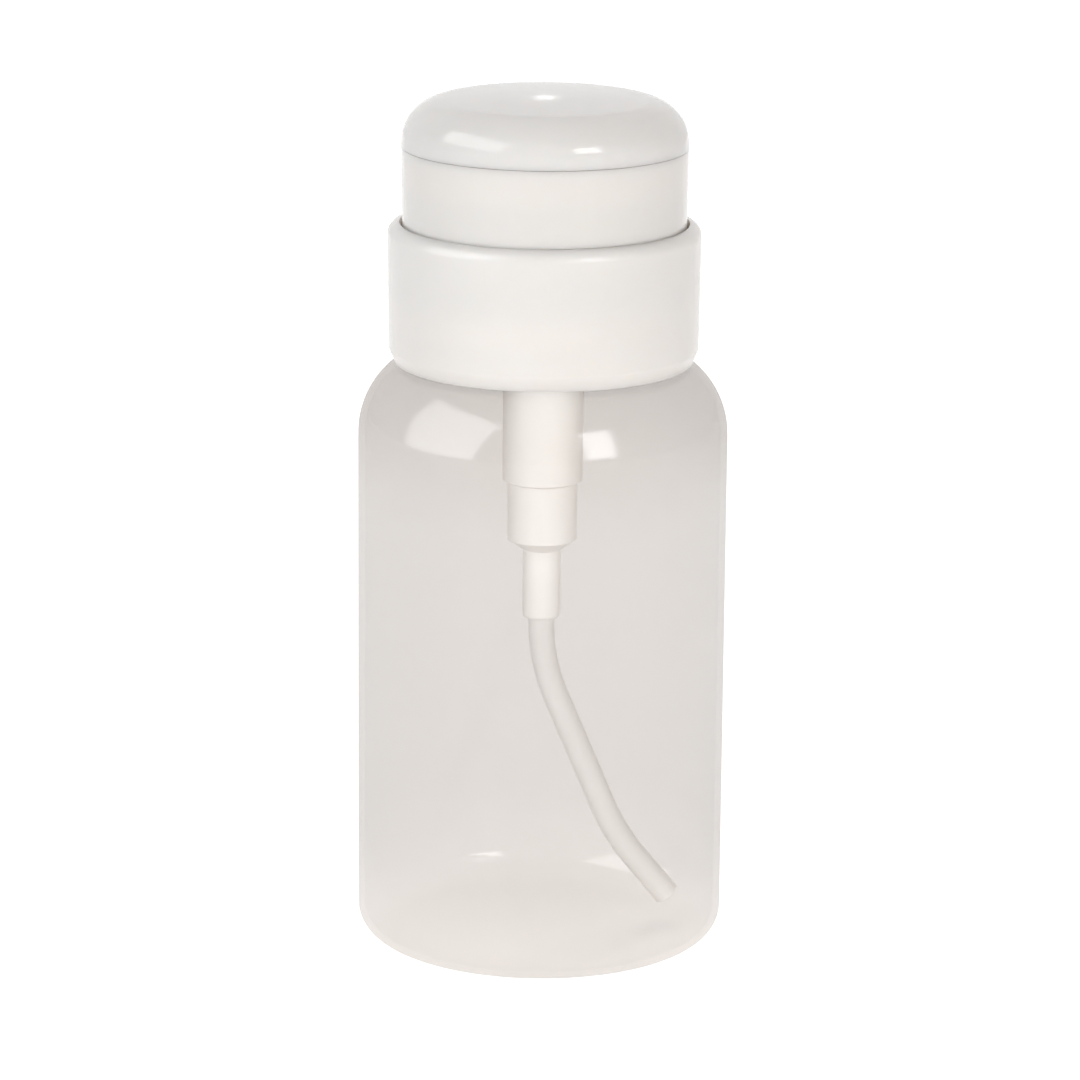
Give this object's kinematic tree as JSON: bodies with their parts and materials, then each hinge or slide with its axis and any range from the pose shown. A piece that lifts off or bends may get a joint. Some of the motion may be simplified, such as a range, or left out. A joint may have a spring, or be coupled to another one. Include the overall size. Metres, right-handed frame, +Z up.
{
  "type": "press-top oil dispenser bottle",
  "caption": "Round translucent bottle with a screw collar, a press-down dispensing dish under a hinged flip lid, and a spring pump with a bent dip tube inside.",
  "frame": {"origin": "centre of the bottle's base, on the plane it stands on", "axes": "+Z up along the bottle's axis, -Y the front seen in the picture, +Y towards the lid hinge"},
  "size_m": [0.056, 0.056, 0.1306],
  "materials": {
    "bottle_plastic": "smooth translucent natural plastic",
    "collar_plastic": "satin milky plastic",
    "head_plastic": "satin milky plastic",
    "pump_plastic": "white moulded plastic",
    "piston_plastic": "soft natural plastic",
    "tube_plastic": "translucent extruded plastic",
    "gasket_foam": "white closed-cell washer",
    "spring_steel": "drawn wire",
    "ball_steel": "polished ball"
  },
  "bodies": {
    "bottle": {"bottle": "bottle_plastic"},
    "pump": {"pump_housing": "pump_plastic", "neck_gasket": "gasket_foam", "stem_guide": "pump_plastic", "dip_tube": "tube_plastic", "ball_cage": "pump_plastic", "return_spring": "spring_steel"},
    "collar": {"screw_collar": "collar_plastic"},
    "inlet_valve": {"inlet_ball": "ball_steel"},
    "plunger": {"piston": "piston_plastic"},
    "head": {"press_dish": "head_plastic", "outlet_nozzle": "pump_plastic", "stem": "pump_plastic", "piston_rod": "pump_plastic", "hinge_pin": "pump_plastic"},
    "outlet_valve": {"outlet_ball": "ball_steel"},
    "lid": {"flip_lid": "head_plastic"}
  },
  "joints": [
    {"name": "pump_lift", "type": "slide", "parent": "bottle", "child": "pump", "axis": [0, 0, 1], "range_m": [0, 0.00529]},
    {"name": "collar_turn", "type": "hinge", "parent": "pump", "child": "collar", "pos_m": [0, 0, 0.1], "axis": [0, 0, 1], "range_deg": [0, 450.5]},
    {"name": "press", "type": "slide", "parent": "pump", "child": "plunger", "axis": [0, 0, -1], "range_m": [0, 0.008], "stiffness_N_per_m": 600, "springref_m": -0.005, "deforming": ["return_spring"]},
    {"name": "head_swivel", "type": "hinge", "parent": "plunger", "child": "head", "pos_m": [0, 0, 0.1], "axis": [0, 0, 1], "continuous": true},
    {"name": "lid_hinge", "type": "hinge", "parent": "head", "child": "lid", "pos_m": [0, 0.0231, 0.12294], "axis": [-1, 0, 0], "range_deg": [0, 110]},
    {"name": "inlet_ball_lift", "type": "slide", "parent": "pump", "child": "inlet_valve", "axis": [0, 0, 1], "range_m": [0, 0.0012]},
    {"name": "outlet_ball_lift", "type": "slide", "parent": "head", "child": "outlet_valve", "axis": [0, 0, 1], "range_m": [0, 0.001]}
  ],
  "couplings": [
    {"joint": "collar_turn", "follows": "pump_lift", "rad_per_m": 1485.4}
  ]
}
